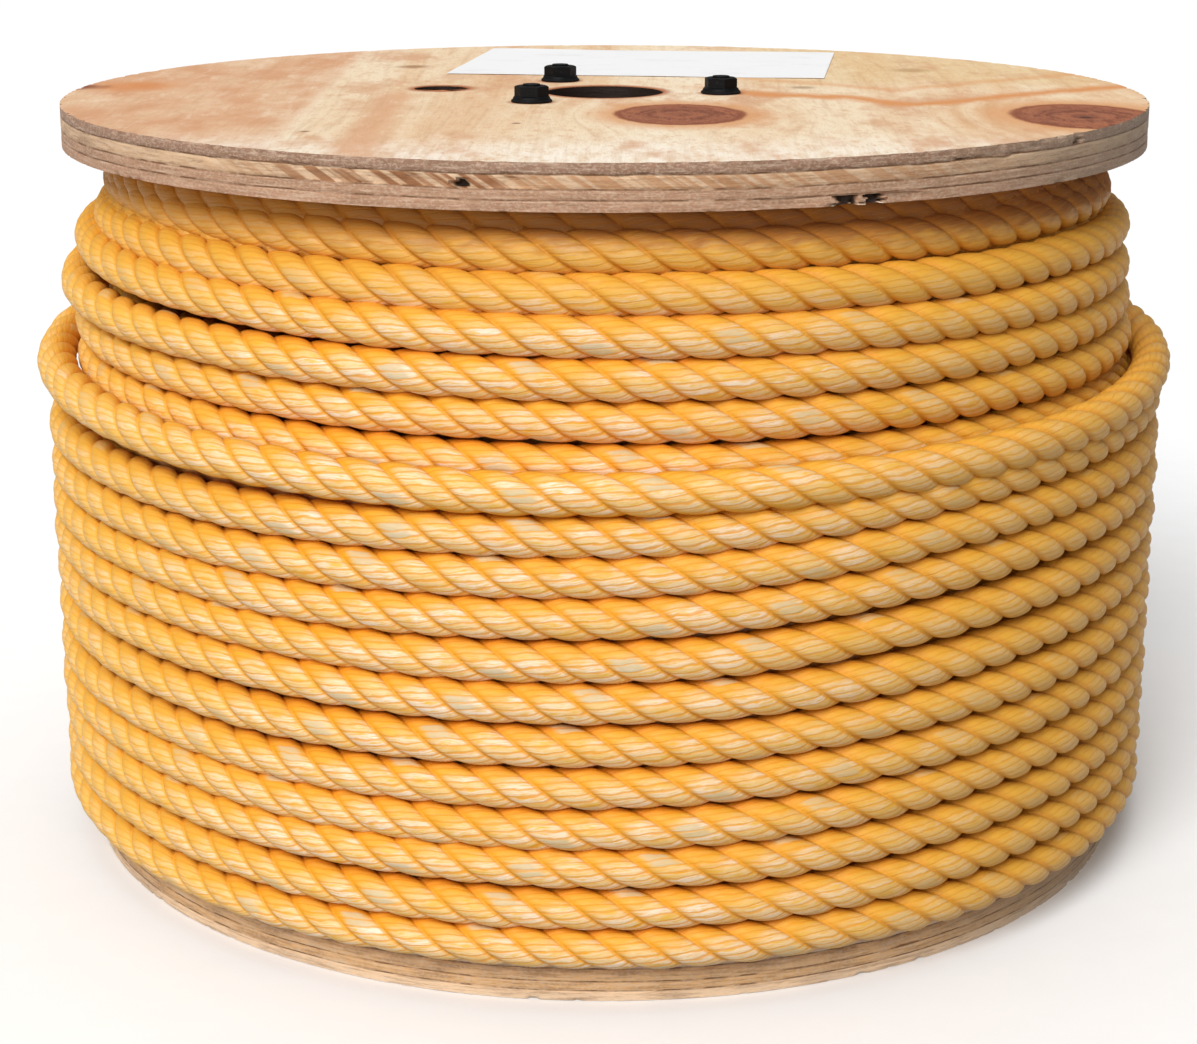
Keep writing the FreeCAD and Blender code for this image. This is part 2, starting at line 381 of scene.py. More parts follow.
class Winding:
    """A rope's route round the reel, as smooth radius and height against azimuth in degrees."""

    def __init__(self, heights, radii, seed, waver=0.35 * MM):
        self.start, self.end = heights[0][0], heights[-1][0]
        azimuth = np.arange(self.start, self.end + 0.01, 0.5)
        z = through(heights, azimuth) + waver * smooth_noise(azimuth / 23.0, seed)
        r = through(radii, azimuth) + waver * smooth_noise(azimuth / 31.0, seed + 5)
        angle = np.radians(azimuth)
        self.azimuth = azimuth
        self.points = np.stack([r * np.cos(angle), r * np.sin(angle), z], 1)
        lengths = np.linalg.norm(np.diff(self.points, axis=0), axis=1)
        self.along = np.concatenate([[0.0], np.cumsum(lengths)])
        self.seed = seed

    def rings(self, first, last, step):
        """Evenly spaced places between two azimuths: lengths along, points and directions."""
        ends = np.interp([first, last], self.azimuth, self.along)
        count = max(2, int(round((ends[1] - ends[0]) / step)) + 1)
        along = np.linspace(ends[0], ends[1], count)
        middle = self.curve(along)
        ahead = self.curve(along + 0.5 * MM) - self.curve(along - 0.5 * MM)
        return along, middle, ahead / np.linalg.norm(ahead, axis=1)[:, None]

    def place(self, azimuth, ahead=0.0):
        """A point on the route at an azimuth, or some way along from it."""
        along = np.interp(azimuth, self.azimuth, self.along) + ahead
        return Vector(self.curve(np.array([along]))[0])

    def curve(self, along):
        return np.stack([np.interp(along, self.along, self.points[:, k]) for k in range(3)], 1)


def rope_surface(along, columns, seed):
    """Round every ring: the rope's radius and the angle it is at, and the lay's turns."""
    column = np.arange(columns)
    lobe = column * 3 / columns
    from_crest = np.abs(lobe % 1 - 0.5) * 2
    section = ROPE_RADIUS - VALLEY_DEPTH * (1 - (1 - from_crest**2.4) ** 0.8)

    lay = along / LAY_LENGTH + smooth_noise(along / 0.09, seed + 11) * 0.035
    turn = TURN * (column[None, :] / columns + lay[:, None])
    yarn = YARNS_AROUND * turn / TURN
    yarn += np.floor(lobe)[None, :] * YARN_SHIFT + along[:, None] / YARN_DRIFT
    ridge = np.abs(np.sin(np.pi * yarn)) ** 0.7 - 0.6
    crest = (1 - from_crest**2)[None, :]
    swell = np.stack([smooth_noise(along / 0.017, seed + 20 + k) for k in range(3)], 1)
    swell = np.repeat(swell, columns // 3, axis=1) * 0.20 * MM
    return section[None, :] + (YARN_RELIEF * ridge + swell) * crest, turn, lay


def rope_corners(along, lay, i, j, columns, tilt):
    """What the material reads at every face's corners, on the side and then on both caps:
    the "strand" vector, and "worn", which is 1 where the rope faces out of the winding.
    By "worn" the material paints light and shade: pale as lit where it is high, orange as shade where
    it is low."""
    strand = np.floor(j * 3 / columns)[..., None]
    lobe = np.stack([j, j + 1, j + 1, j], -1) * 3 / columns
    lobe = np.minimum(lobe, strand + 0.9999)
    ring = np.stack([i, i, i + 1, i + 1], -1)
    turn = lobe / 3 + lay[ring]
    yarn = YARNS_AROUND * turn + strand * YARN_SHIFT + along[ring] / YARN_DRIFT
    values = np.stack([lobe, along[ring], yarn], -1).reshape(-1, 3)
    # The painted-light factor: high on the side that faces out and down, which is painted pale as if
    # lit
    worn = np.cos(TURN * turn - tilt).ravel()
    on_caps = 6 * columns
    values = np.concatenate([values, np.tile([0.5, 0.0, 0.5], (on_caps, 1))])
    return values, np.concatenate([worn, np.zeros(on_caps)])


def rope_piece(name, winding, first, last, columns, step, *nodes, melted=0.0, tilt=LIT_SIDE_TILT):
    """One stretch of three-strand rope as a closed mesh, riding on the reel. A melted
    end is rounded off over that length."""
    along, middle, ahead = winding.rings(first, last, step)
    outward = middle * (1, 1, 0)
    outward -= ahead * (outward * ahead).sum(1)[:, None]
    outward /= np.linalg.norm(outward, axis=1)[:, None]
    aside = np.cross(ahead, outward)
    radius, turn, lay = rope_surface(along, columns, winding.seed)
    if melted:
        inset = np.clip(1 - (along[-1] - along) / melted, 0, 1)
        radius *= np.sqrt(1 - 0.85 * inset**2)[:, None]
    points = middle[:, None, :] + radius[..., None] * (
        np.cos(turn)[..., None] * outward[:, None, :] + np.sin(turn)[..., None] * aside[:, None, :]
    )
    points = np.concatenate([points.reshape(-1, 3), middle[:1], middle[-1:]])

    rings, column = len(along), np.arange(columns)
    i, j = np.meshgrid(np.arange(rings - 1), column, indexing="ij")
    here, beside = i * columns + j, i * columns + (j + 1) % columns
    quads = np.stack([here, beside, beside + columns, here + columns], -1).reshape(-1, 4)
    cap = np.stack([column, (column + 1) % columns], 1)
    centre = np.full((columns, 1), rings * columns)
    start_cap = np.concatenate([centre, cap[:, ::-1]], 1)
    end_cap = np.concatenate([centre + 1, cap + (rings - 1) * columns], 1)

    mesh = bpy.data.meshes.new(name)
    fill_mesh(mesh, points, [quads, start_cap, end_cap])
    values, worn = rope_corners(along, lay, i, j, columns, tilt)
    attribute = mesh.attributes.new("strand", "FLOAT_VECTOR", "CORNER")
    attribute.data.foreach_set("vector", values.astype(np.float32).ravel())
    attribute = mesh.attributes.new("worn", "FLOAT", "CORNER")
    attribute.data.foreach_set("value", worn.astype(np.float32))
    piece = add_piece(name, mesh, MATERIALS["rope"])
    if nodes:
        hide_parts(*nodes)
    return piece


def fill_mesh(mesh, points, face_groups):
    """Loads points and groups of faces, each group an array of one face size, into a mesh."""
    sizes = np.concatenate([np.full(len(g), g.shape[1]) for g in face_groups])
    corners = np.concatenate([g.ravel() for g in face_groups])
    starts = np.concatenate([[0], np.cumsum(sizes)[:-1]])
    mesh.vertices.add(len(points))
    mesh.vertices.foreach_set("co", np.asarray(points, np.float32).ravel())
    mesh.loops.add(len(corners))
    mesh.loops.foreach_set("vertex_index", corners.astype(np.int32))
    mesh.polygons.add(len(sizes))
    mesh.polygons.foreach_set("loop_start", starts.astype(np.int32))
    mesh.polygons.foreach_set("use_smooth", np.ones(len(sizes), bool))
    mesh.update(calc_edges=True)
    mesh.validate()


def add_piece(name, mesh, material):
    piece = put(name, mesh)
    mesh.materials.clear()
    mesh.materials.append(material)
    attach(piece, "root")
    return piece


# Heights of the outer layer's rows, in millimetres, from the bottom row up: at the reel's
# left (226 degrees), front (270) and right (314)
LEFT, FRONT, RIGHT = 226.0, 270.0, 314.0
OUTER_ROWS = [
    (21.3, 21.3, 22.0),
    (35.3, 35.5, 37.0),
    (49.8, 50.0, 52.0),
    (62.8, 63.6, 66.4),
    (76.0, 77.4, 81.2),
    (91.2, 91.9, 95.8),
    (106.2, 106.3, 110.5),
    (120.0, 120.6, 126.0),
    (133.0, 135.0, 141.6),
    (146.6, 148.6, 155.6),
    (160.8, 162.2, 169.6),
]
OUTER_ROWS_END = 360.0 * len(OUTER_ROWS)  # azimuth from which the rope climbs to its last turn
LAST_TURN_START = OUTER_ROWS_END + 60  # where that piece of the rope begins
RING_HEIGHT = 185.4 * MM  # the last turn's mean height, and its tilt's rise
RING_RISE = 9.2 * MM
RING_END = 436  # degrees after the outer rows


def outer_heights():
    """Knots through the outer rows, and then up into the loose, tilted last turn."""
    knots = [(JOIN, OUTER_ROWS[0][0] * MM)]
    for k, row in enumerate(OUTER_ROWS):
        for azimuth, height in zip((LEFT, FRONT, RIGHT), row):
            knots.append((azimuth + 360.0 * k, height * MM))
    for azimuth, height in ((45, 174.0), (75, 178.5), (96, 185.0)):
        knots.append((OUTER_ROWS_END + azimuth, height * MM))
    for azimuth in [*range(120, RING_END, 12), RING_END]:
        height = RING_HEIGHT + RING_RISE * math.sin(math.radians(azimuth))
        knots.append((OUTER_ROWS_END + azimuth, height))
    return knots


def outer_radii():
    """Knots out to the outer layer, and then out again to the last turn."""
    return [
        (JOIN, SECOND_RADIUS),
        (JOIN + 35, OUTER_RADIUS),
        (OUTER_ROWS_END, OUTER_RADIUS),
        (OUTER_ROWS_END + 70, OUTER_RADIUS + 1.5 * MM),
        (OUTER_ROWS_END + 120, LAST_TURN_RADIUS),
        (OUTER_ROWS_END + RING_END, LAST_TURN_RADIUS),
    ]


# Heights and radii of the second layer's turns where they show above the outer layer,
# in millimetres, from the top down: (azimuth, height, radius)
SECOND_KNOTS = [
    (100, 250.5, 182.0), (180, 251.0, 181.0), (226, 250.0, 184.0), (270, 248.6, 189.0),
    (314, 248.2, 186.5), (360, 247.0, 183.5), (460, 243.0, 184.0),
    (540, 240.0, 184.5), (586, 237.5, 190.0), (630, 236.0, 193.0), (674, 235.0, 192.5),
    (720, 233.6, 191.0), (820, 232.5, 192.0),
    (900, 231.0, 193.0), (946, 226.5, 195.0), (990, 223.4, 195.5), (1034, 221.5, 194.0),
    (1080, 219.6, 192.0), (1180, 217.0, 195.0),
    (1260, 214.0, 199.5), (1306, 211.4, 197.5), (1350, 209.9, 196.0), (1394, 208.6, 194.5),
    (1440, 206.6, 193.0), (1540, 203.0, 194.5),
    (1620, 199.4, 195.0), (1666, 197.6, 194.8), (1710, 196.2, 194.5), (1754, 194.6, 194.5),
    (1800, 192.6, 194.5), (1900, 188.5, 194.5),
]
SECOND_TURNS = 17
THIRD_TURNS = 17
THIRD_TOP_RADIUS = 178.5 * MM


def second_knots():
    """The turns that show, and then even turns down to the lower board."""
    heights = [(azimuth, height * MM) for azimuth, height, _ in SECOND_KNOTS]
    radii = [(azimuth, radius * MM) for azimuth, _, radius in SECOND_KNOTS]
    last_azimuth = JOIN + 360 * SECOND_TURNS
    heights.append((last_azimuth, OUTER_ROWS[0][0] * MM))
    radii += [(SECOND_KNOTS[-1][0] + 90, SECOND_RADIUS), (last_azimuth, SECOND_RADIUS)]
    return heights, radii


def third_knots():
    """Even turns up to the upper board, where the rope passes into the second layer."""
    low = base_high[2] + ROPE_RADIUS
    high = board_low[2] - ROPE_RADIUS
    first, last = JOIN, JOIN + 360 * THIRD_TURNS
    _, top_height, top_radius = SECOND_KNOTS[0]
    heights = [(first, low), (last - 360, high), (last - 90, high), (last, top_height * MM)]
    radii = [(first, THIRD_RADIUS), (last - 720, THIRD_RADIUS)]
    radii += [(last - 200, THIRD_TOP_RADIUS), (last, top_radius * MM)]
    return heights, radii


def fine_step():
    return FINE_STEP * 1


def make_layer(name, node, winding, shown):
    """One piece for each turn; turns that other turns hide are made coarse."""
    first = winding.start
    turn = 0
    while first < winding.end - 1:
        last = min(first + 360.0, winding.end)
        columns, step = (FINE_COLUMNS, fine_step()) if turn in shown else (COARSE_COLUMNS, COARSE_STEP)
        rope_piece("%s_turn_%02d" % (name, turn + 1), winding, first, last, columns, step, node)
        turn, first = turn + 1, last


def make_rope():
    shown_second = range(0, 8)
    shown_third = range(THIRD_TURNS - 2, THIRD_TURNS)
    make_layer("rope_second", "rope_layer_12", Winding(*second_knots(), 8), shown_second)
    make_layer("rope_third", "rope_layer_11", Winding(*third_knots(), 14), shown_third)
    outer = Winding(outer_heights(), outer_radii(), 3)
    for k in range(len(OUTER_ROWS)):
        first, last = JOIN + 360.0 * k, min(JOIN + 360.0 * (k + 1), LAST_TURN_START)
        name = "rope_outer_turn_%02d" % (k + 1)
        rope_piece(name, outer, first, last, FINE_COLUMNS, fine_step(), "rope_layer_13")
    rope_piece("rope_end_turn", outer, LAST_TURN_START, outer.end, FINE_COLUMNS, fine_step(),
               "rope_last_turn", melted=4 * MM, tilt=LAST_TURN_TILT)
    make_tape(outer)


TAPE_WIDTH = 12 * MM
TAPE_BEFORE_END = 3.0  # degrees from the rope's end to the middle of the tape
TAPE_INSIDE = ROPE_RADIUS + 0.08 * MM
TAPE_OUTSIDE = ROPE_RADIUS + 0.28 * MM


def make_tape(outer):
    """A band of thin tape that binds the rope's end to the turn climbing below it."""
    middle = outer.end - TAPE_BEFORE_END
    stations, count = 9, 96
    outer_rings, inner_rings = [], []
    for k in range(stations):
        off = (k / (stations - 1) - 0.5) * TAPE_WIDTH
        ring, inner = [], []
        upper, lower = outer.place(middle, off), outer.place(middle - 360, off)
        outward = Vector((upper.x, upper.y, 0)).normalized()
        for j in range(count):
            angle = TURN * j / count
            normal = outward * math.cos(angle) + Vector((0, 0, math.sin(angle)))
            centre = upper if upper.dot(normal) > lower.dot(normal) else lower
            wrinkle = 0.12 * MM * noise.noise(Vector((angle * 4, off * 500, 3.0)))
            ring.append(centre + normal * (TAPE_OUTSIDE + wrinkle))
            inner.append(centre + normal * (TAPE_INSIDE + wrinkle))
        outer_rings.append(ring)
        inner_rings.append(inner)
    soup = Soup()
    soup.bands(outer_rings + inner_rings[::-1] + outer_rings[:1])
    piece = add_piece("end_band", soup.mesh("end_band", 50), MATERIALS["tape"])
    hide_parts("end_tape")


# ---- plywood

GLUE_LINES = (0.245, 0.55, 0.77)  # from a board's upper face, as parts of its thickness
ARBOR_RADIUS = 22.225 * MM
BOLT_CIRCLE = 44.45 * MM
BOLT_AZIMUTHS = (-7, 113, 233)
BOLT_HOLE_RADIUS = 3.3 * MM
START_RADIUS, START_CIRCLE, START_AZIMUTH = 10.3 * MM, 64 * MM, 169
POCKET_RADIUS, POCKET_DEPTH = 9.2 * MM, 4.0 * MM  # for the bolts' heads, under the lower board
HOLE_WEAR = 0.3 * MM  # how far every hole's edges are rounded

# Damage along the rims: azimuth and half-width in degrees, ply counted from the top, and
# depth in millimetres
UPPER_DAMAGE = [
    (257.5, 0.9, 1, 3.0), (252.0, 4.5, 1, 0.9), (245.0, 3.0, 1, 0.7), (262.0, 3.0, 1, 0.6),
    (291.6, 1.2, 3, 4.5), (294.4, 1.0, 3, 4.0), (297.0, 2.5, 3, 0.8), (286.0, 3.5, 3, 0.6),
    (320.5, 0.9, 0, 2.2), (308.0, 6.0, 0, 0.5), (238.0, 3.0, 0, 0.9), (70.0, 4.0, 0, 0.9),
    (150.0, 2.5, 2, 2.5), (30.0, 3.0, 3, 1.2), (190.0, 2.0, 1, 1.0),
]
LOWER_DAMAGE = [
    (232.0, 1.5, 0, 1.2), (300.0, 3.0, 1, 0.8), (120.0, 2.0, 1, 3.0), (20.0, 3.0, 2, 1.0),
]


def circle(radius, centre, count):
    angle = np.arange(count) * TURN / count
    return np.stack([centre[0] + radius * np.cos(angle), centre[1] + radius * np.sin(angle)], 1)


def round_place(circle_radius, azimuth):
    angle = math.radians(azimuth)
    return circle_radius * math.cos(angle), circle_radius * math.sin(angle)


class Soup:
    """Points and faces gathered band by band; touching points are welded at the end."""

    def __init__(self):
        self.points = []
        self.faces = []

    def bands(self, rings):
        """Joins rings of equal count, each to the next."""
        first = len(self.points)
        count = len(rings[0])
        for ring in rings:
            self.points.extend(tuple(p) for p in ring)
        for i in range(len(rings) - 1):
            for j in range(count):
                a = first + i * count + j
                b = first + i * count + (j + 1) % count
                self.faces.append((a, b, b + count, a + count))

    def flat(self, loops, holes, z):
        """Fills the face inside the first loop, leaving out the round holes (centre, radius)."""
        points, edges = [], []
        for loop in loops:
            first, count = len(points), len(loop)
            points.extend(Vector(p) for p in loop)
            edges.extend((first + i, first + (i + 1) % count) for i in range(count))
        made, _, faces, _, _, _ = delaunay_2d_cdt(points, edges, [], 1, 1e-7)
        first = len(self.points)
        self.points.extend((p.x, p.y, z) for p in made)
        for face in faces:
            middle = sum((made[i] for i in face), Vector((0, 0))) / 3
            if all((middle - Vector(centre)).length > radius * 0.999 for centre, radius in holes):
                self.faces.append(tuple(first + i for i in face))

    def mesh(self, name, sharp_degrees):
        mesh = bpy.data.meshes.new(name)
        mesh.from_pydata(self.points, [], self.faces)
        work = bmesh.new()
        work.from_mesh(mesh)
        bmesh.ops.remove_doubles(work, verts=work.verts, dist=0.004 * MM)
        bmesh.ops.recalc_face_normals(work, faces=work.faces)
        work.to_mesh(mesh)
        work.free()
        mesh.shade_smooth()
        mesh.set_sharp_from_angle(angle=math.radians(sharp_degrees))
        return mesh


def rim_depth(azimuth, part, seed, damage):
    """How far the board's edge lies inside its true radius, at a part of its thickness."""
    ply = sum(part > bound for bound in GLUE_LINES)
    from_glue = min(abs(part - bound) for bound in GLUE_LINES)
    around = Vector((*round_place(9, azimuth), seed + ply * 3.1))
    depth = 0.10 * MM + 0.16 * MM * noise.noise(around)
    fine = Vector((*round_place(150, azimuth), part * 9 + seed))
    depth += 0.09 * MM * noise.noise(fine)
    if from_glue < 0.02:
        depth += 0.15 * MM
    if abs(part - GLUE_LINES[0]) < 0.04 and 226 < azimuth < 312:
        depth += 1.5 * MM * max(0.0, noise.noise(around * 3 + Vector((0, 0, 5))))
    chip = noise.noise(Vector((*round_place(55, azimuth), seed + 40)))
    if part < 0.10:
        depth += max(0.0, chip + 0.02) * 2.4 * MM * (1 - part / 0.10)
    if part > 0.93:
        depth += max(0.0, chip - 0.2) * 2.0 * MM * (part - 0.93) / 0.07
    for place, half, damaged_ply, deep in damage:
        off = abs((azimuth - place + 180) % 360 - 180) / half
        off += 0.7 * noise.noise(Vector((azimuth * 1.3, part * 17, seed)))
        if ply == 1:
            off += 7.0 * max(0.0, 0.42 - part)
        if off < 1 and damaged_ply == ply and from_glue > 0.015:
            rough = 0.8 + 0.5 * noise.noise(fine * 0.6)
            depth += deep * MM * min(1.0, 2.2 * (1 - off)) * rough
    return max(0.0, depth)


# Levels down the rim, as parts of the board's thickness, and more beside each glue line
RIM_LEVELS = (0.0, 0.02, 0.05, 0.09, 0.15, 0.19, 0.33, 0.40, 0.47, 0.62, 0.67, 0.72, 0.83, 0.88,
              0.93, 0.97, 1.0)
GLUE_LEVELS = (-0.03, -0.012, 0.0, 0.012, 0.03)
FACE_MARGIN = 5 * MM  # the flat faces end this far inside the rim


def at_height(loop, z):
    return [(x, y, z) for x, y in loop]


def rim_rings(low, high, seed, damage, count):
    """The worn rim, ring by ring from the upper face down."""
    parts = set(RIM_LEVELS) | {bound + off for bound in GLUE_LINES for off in GLUE_LEVELS}
    rings = []
    for part in sorted(parts):
        ring = []
        for k in range(count):
            azimuth = 360.0 * k / count
            radius = BOARD_RADIUS - rim_depth(azimuth, part, seed, damage)
            ring.append(round_place(radius, azimuth))
        rings.append(at_height(ring, high - part * (high - low)))
    return rings


def make_board(name, node, low, high, seed, damage, start_hole=False, pockets=False):
    """A round plywood board with its rim, faces and holes."""
    soup = Soup()
    count = 1080
    face_ring = circle(BOARD_RADIUS - FACE_MARGIN, (0, 0), count)
    rings = rim_rings(low, high, seed, damage, count)
    soup.bands([at_height(face_ring, high)] + rings + [at_height(face_ring, low)])

    arbor = [((0.0, 0.0), ARBOR_RADIUS)]
    bolts = [(round_place(BOLT_CIRCLE, azimuth), BOLT_HOLE_RADIUS) for azimuth in BOLT_AZIMUTHS]
    start = [(round_place(START_CIRCLE, START_AZIMUTH), START_RADIUS)] if start_hole else []
    bolt_foot = low + POCKET_DEPTH if pockets else low
    for centre, radius in arbor + bolts + start:
        foot = bolt_foot if radius == BOLT_HOLE_RADIUS else low
        make_hole(soup, centre, radius, foot, high, seed)
    below = bolts
    if pockets:
        below = [(centre, POCKET_RADIUS) for centre, _ in bolts]
        for centre, radius in below:
            make_pocket(soup, centre, radius, low, bolt_foot)
    fill_face(soup, face_ring, arbor + bolts + start, high)
    fill_face(soup, face_ring, arbor + below + start, low)
    piece = add_piece(name, soup.mesh(name, 40), MATERIALS[name])
    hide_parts(node)


def hole_loop(centre, radius):
    return circle(radius, centre, max(24, int(radius / (0.5 * MM)) * 4))


def make_hole(soup, centre, radius, low, high, seed):
    """A drilled hole's wall, with a little wear at both ends."""
    worn = hole_loop(centre, radius + HOLE_WEAR)
    rings = [at_height(worn, high)]
    steps = 8
    for step in range(steps + 1):
        z = high - HOLE_WEAR - (high - low - 2 * HOLE_WEAR) * step / steps
        tear = 0.15 * MM * noise.noise(Vector((step * 2.3, seed, radius * 900)))
        rings.append(at_height(hole_loop(centre, radius - abs(tear)), z))
    rings.append(at_height(worn, low))
    soup.bands([list(reversed(ring)) for ring in rings])


def make_pocket(soup, centre, radius, low, high):
    """A round pocket for a bolt's head, open downwards, with the bolt's hole in its floor."""
    edge, wall = hole_loop(centre, radius + HOLE_WEAR), hole_loop(centre, radius)
    soup.bands([at_height(edge, low), at_height(wall, low + HOLE_WEAR), at_height(wall, high)])
    bolt_edge = BOLT_HOLE_RADIUS + HOLE_WEAR
    soup.flat([wall, hole_loop(centre, bolt_edge)], [(centre, bolt_edge)], high)


def fill_face(soup, outer, holes, z):
    """A board's flat face between its rim and the worn edges of its holes."""
    edges = [(centre, radius + HOLE_WEAR) for centre, radius in holes]
    loops = [outer] + [hole_loop(centre, radius) for centre, radius in edges]
    soup.flat(loops, edges, z)


# ---- nuts, label and tape

NUT_FLATS = 11.11 * MM  # 7/16 in across the flats
# A nut's outline from the board up, over the crown and down the bore: radius and height in
# millimetres. At the heights in HEX_HEIGHTS the hexagon cuts it.
NUT_OUTLINE = [
    (3.6, 0.0), (7.35, 0.0), (7.55, 0.25), (7.55, 0.65), (7.4, 0.9), (7.0, 1.15), (6.62, 2.0),
    (6.42, 2.35), (6.42, 5.5), (6.15, 5.7), (5.7, 5.9), (5.3, 6.0), (3.6, 6.0), (3.25, 5.6),
    (3.2, 0.6), (3.6, 0.0),
]
HEX_HEIGHTS = (2.35, 5.5, 5.7, 5.9)
NUT_TURNS = {"a": 10, "b": 38, "c": 22}  # how far each was turned when it was tightened


def hex_radius(angle):
    folded = (angle + math.pi / 6) % (math.pi / 3) - math.pi / 6
    return NUT_FLATS / 2 / math.cos(folded)


def make_nut(name, node, centre, turned):
    """A hexagon flange nut: rounded brim, conical flange, chamfered crown and bore."""
    count = 96
    rings = []
    for radius, height in NUT_OUTLINE:
        ring = []
        for k in range(count):
            angle = TURN * k / count
            r = radius * MM
            if height in HEX_HEIGHTS:
                r = min(hex_radius(angle), r)
            a = angle + math.radians(turned)
            ring.append((centre[0] + r * math.cos(a), centre[1] + r * math.sin(a)))
        rings.append(at_height(ring, REEL_TOP + height * MM))
    soup = Soup()
    soup.bands(rings)
    piece = add_piece(name, soup.mesh(name, 28), MATERIALS["nut"])
    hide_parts(node)


LABEL_WIDTH, LABEL_DEPTH = 153.5 * MM, 114.6 * MM
LABEL_CENTRE = (19.2 * MM, 115.0 * MM)
LABEL_TURN = math.radians(-7.3)
LABEL_PAPER = 0.1 * MM


def make_label():
    """A pasted paper sheet, lifting very slightly along its edges."""
    across, up = 60, 44
    cos_turn, sin_turn = math.cos(LABEL_TURN), math.sin(LABEL_TURN)
    top, bottom, faces = [], [], []
    for j in range(up + 1):
        for i in range(across + 1):
            u, v = i / across - 0.5, j / up - 0.5
            x, y = u * LABEL_WIDTH, v * LABEL_DEPTH
            edge = max(abs(u), abs(v)) * 2
            lift = 0.12 * MM + 0.08 * MM * noise.noise(Vector((x * 40, y * 40, 2.0)))
            curl = 0.5 + noise.noise(Vector((x * 25, y * 25, 7.0)))
            lift += 0.25 * MM * max(0.0, edge - 0.94) / 0.06 * curl
            px = LABEL_CENTRE[0] + x * cos_turn - y * sin_turn
            py = LABEL_CENTRE[1] + x * sin_turn + y * cos_turn
            z = REEL_TOP + max(0.02 * MM, lift)
            top.append((px, py, z + LABEL_PAPER))
            bottom.append((px, py, z))
    row = across + 1
    size = len(top)
    for j in range(up):
        for i in range(across):
            a = j * row + i
            faces.append((a, a + 1, a + row + 1, a + row))
            faces.append((size + a, size + a + row, size + a + row + 1, size + a + 1))
    rim = list(range(0, row)) + [j * row + across for j in range(1, up + 1)]
    rim += [up * row + i for i in range(across - 1, -1, -1)] + [j * row for j in range(up - 1, 0, -1)]
    for a, b in zip(rim, rim[1:] + rim[:1]):
        faces.append((a, size + a, size + b, b))
    soup = Soup()
    soup.points, soup.faces = top + bottom, faces
    piece = add_piece("blank_label", soup.mesh("blank_label", 50), MATERIALS["label"])
    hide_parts("label")


# ---- other materials

# Knots in the upper board's face: centre and half-axes
KNOTS = [
    ((26.6 * MM, -75 * MM), (22.5 * MM, 31 * MM)),
    ((168 * MM, -81 * MM), (25 * MM, 37 * MM)),
]

# Orange growth bands: tip, spread of the V's arms, half-width and strength
GROWTH_BANDS = [
    ((114 * MM, -40 * MM), 0.68, 15 * MM, 0.95),
    ((112 * MM, 6 * MM), 0.80, 13 * MM, 0.45),
]

# Stains: centre, radius and soft edge in millimetres, strength and tint. The first five are
# the rubbed edges of the holes and nuts.
SCORCH = (0.40, 0.11, 0.03)
BROWN = (0.20, 0.075, 0.025)
UPPER_STAINS = [
    ((0.0, 0.0), 22.6, 5.0, 0.9, SCORCH),
    ((-62.8, 12.2), 10.6, 5.0, 0.9, SCORCH),
    ((44.1, -5.4), 7.6, 2.5, 0.6, SCORCH),
    ((-17.4, 40.9), 7.6, 2.5, 0.6, SCORCH),
    ((-26.8, -35.5), 7.6, 2.5, 0.6, SCORCH),
    ((-184, 20), 6, 22, 0.75, (0.64, 0.23, 0.06)),
    ((-202, 17), 2, 12, 0.9, (0.22, 0.05, 0.015)),
    ((-79.9, 99.6), 2.0, 8, 0.8, (0.32, 0.15, 0.06)),
    ((126.7, 83.5), 3, 9, 0.6, (0.40, 0.22, 0.08)),
    ((76.5, 15.4), 1.5, 6, 0.55, BROWN),
    ((-30.3, -101.8), 1.0, 1.2, 0.9, BROWN),
    ((-99.9, -124.7), 0.8, 2.0, 0.8, BROWN),
    ((167.2, -84.9), 1.6, 1.6, 0.9, (0.05, 0.015, 0.008)),
]
VENEER_TONES = [
    (0.28, (0.66, 0.38, 0.19)), (0.40, (0.78, 0.55, 0.34)),
    (0.52, (0.83, 0.66, 0.45)), (0.75, (0.87, 0.74, 0.55)),
]


def knot_distance(s, x, y, knot):
    """1 on the knot's outline, less inside it."""
    (cx, cy), (rx, ry) = knot
    dx = s.math("DIVIDE", s.minus(x, cx), rx)
    dy = s.math("DIVIDE", s.minus(y, cy), ry)
    return s.length(dx, dy)


def spot_mask(s, x, y, centre, size, soft, noise_value):
    """1 within a round spot, fading over a soft edge. Its measures are in millimetres."""
    dx = s.minus(x, centre[0] * MM)
    dy = s.minus(y, centre[1] * MM)
    distance = s.plus(s.length(dx, dy), s.centred(noise_value, soft * MM))
    return s.remap(distance, size * MM, (size + soft) * MM, 1.0, 0.0)


def growth_band(s, x, y, tip, spread, half, wander):
    """A V-shaped growth ring in the veneer, pointing to -Y from its tip."""
    arm = s.times(s.absolute(s.minus(x, tip[0])), spread)
    off = s.minus(s.minus(y, arm), tip[1])
    off = s.absolute(s.plus(off, s.centred(wander, 40 * MM)))
    return s.falling(off, 0.0, half)


